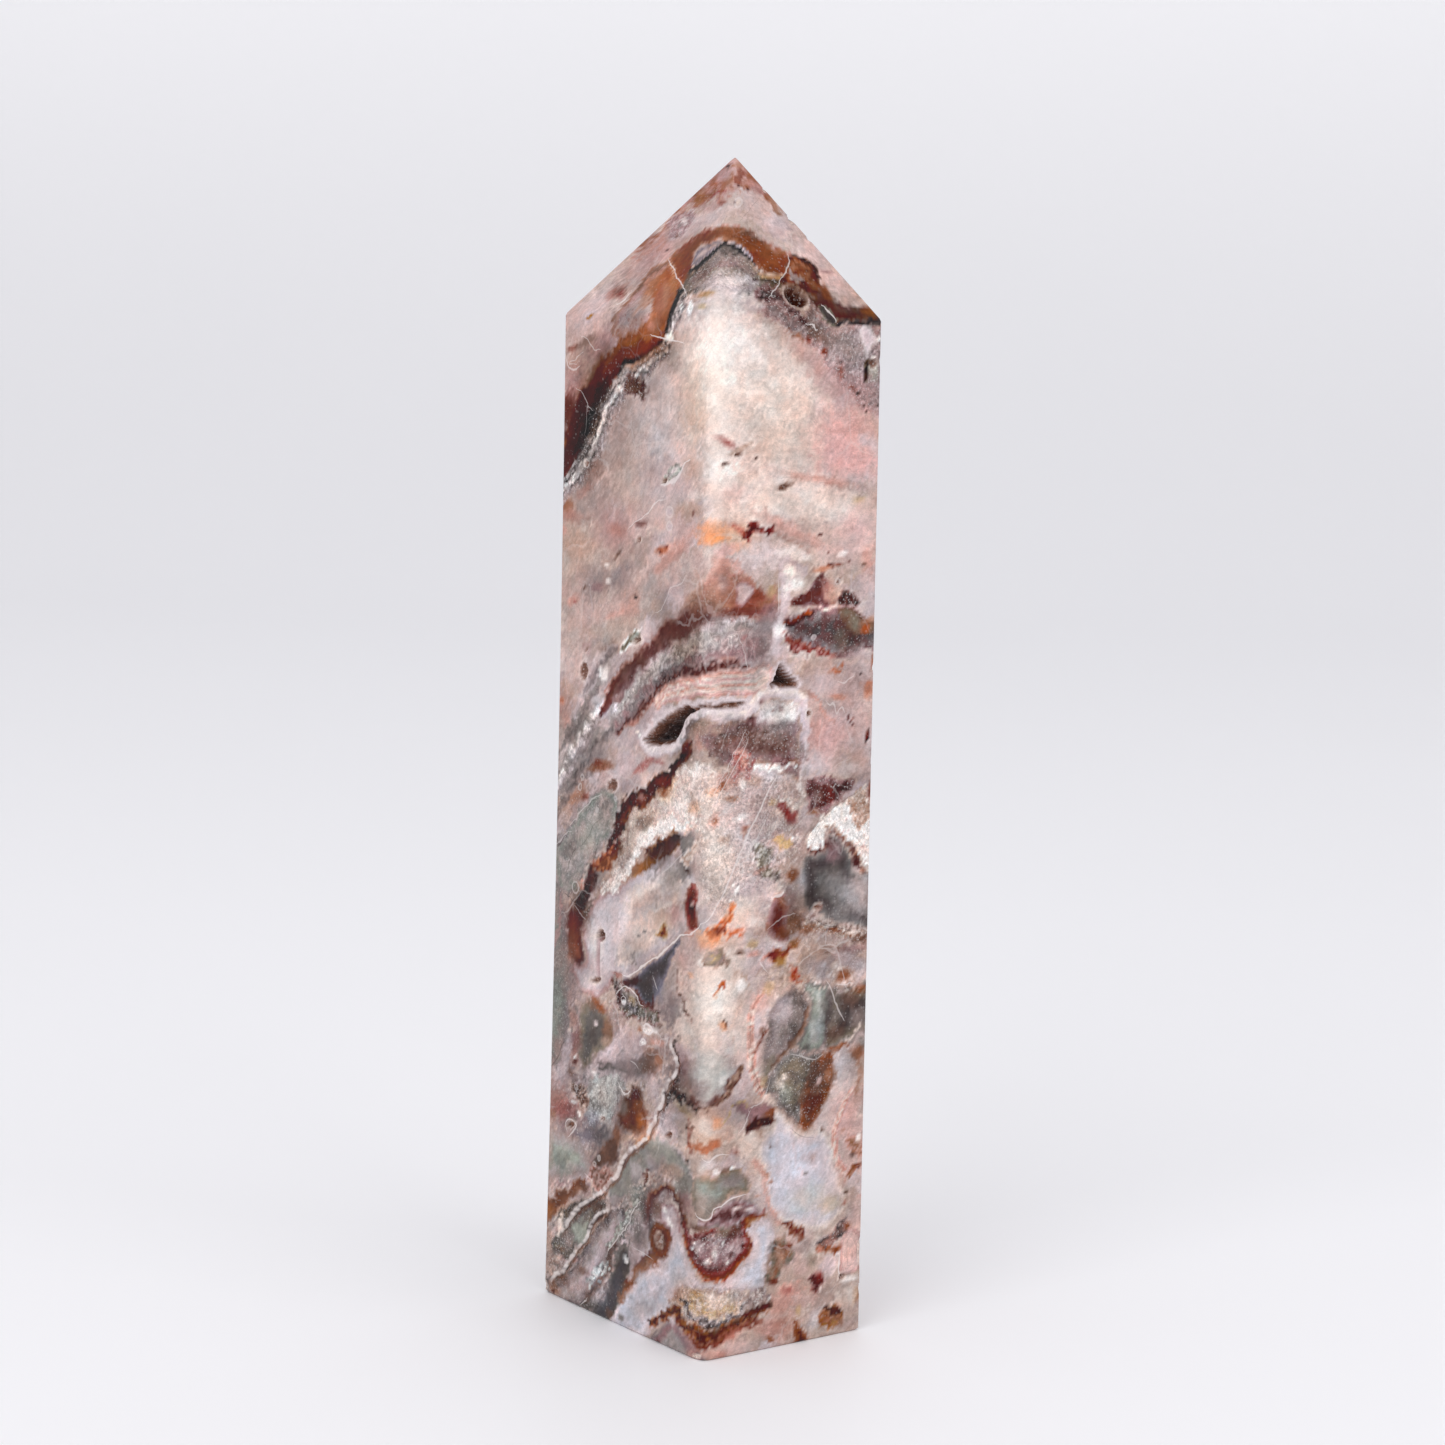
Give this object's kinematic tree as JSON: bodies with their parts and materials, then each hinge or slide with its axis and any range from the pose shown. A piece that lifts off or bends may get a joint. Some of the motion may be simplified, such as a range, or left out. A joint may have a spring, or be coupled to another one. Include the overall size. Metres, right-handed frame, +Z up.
{
  "type": "striped agate tower",
  "caption": "Polished, slightly tapered tower of banded agate with an off-centre pyramid point, open hollows and a flat base to stand on.",
  "frame": {"origin": "middle of the flat base, where the shaft's four ground faces meet the surface it stands on", "axes": "+Z up to the point, -X out of the wide face and -Y out of the narrow face that the picture shows"},
  "size_m": [0.0353, 0.0478, 0.2],
  "materials": {
    "polished_agate": "polished; banded in lavender pink, grey, cream, orange-brown and dark maroon, with sparkling druzy seams"
  },
  "bodies": {
    "root": {"agate_tower": "polished_agate"}
  },
  "joints": []
}
